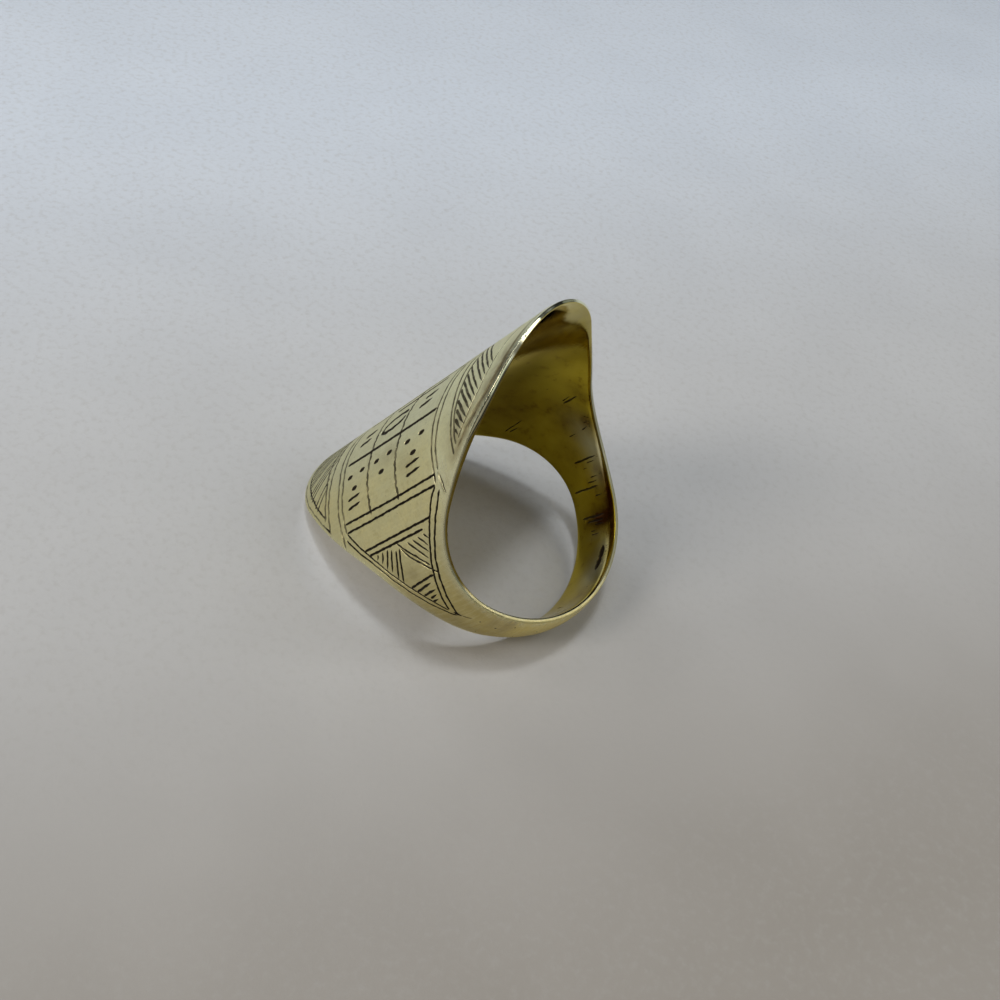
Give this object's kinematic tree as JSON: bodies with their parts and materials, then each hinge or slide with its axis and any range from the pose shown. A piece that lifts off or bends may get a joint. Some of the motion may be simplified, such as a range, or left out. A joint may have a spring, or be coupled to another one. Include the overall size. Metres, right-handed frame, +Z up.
{
  "type": "engraved shield ring",
  "caption": "Finger ring rolled from brass sheet, with a long leaf-shaped plate over the finger and a narrow domed shank behind it.",
  "frame": {"origin": "on the table, under the middle of the ring's box, with the ring lying as it rests by itself on the lower tip of its plate and the lower edge of its shank", "axes": "+Z up; +X from the lower tip of the plate towards the shank, in the ring's mirror plane; +Y across the finger"},
  "size_m": [0.0258, 0.0198, 0.0252],
  "materials": {
    "brass": "satin"
  },
  "bodies": {
    "root": {"ring_band": "brass"}
  },
  "joints": []
}
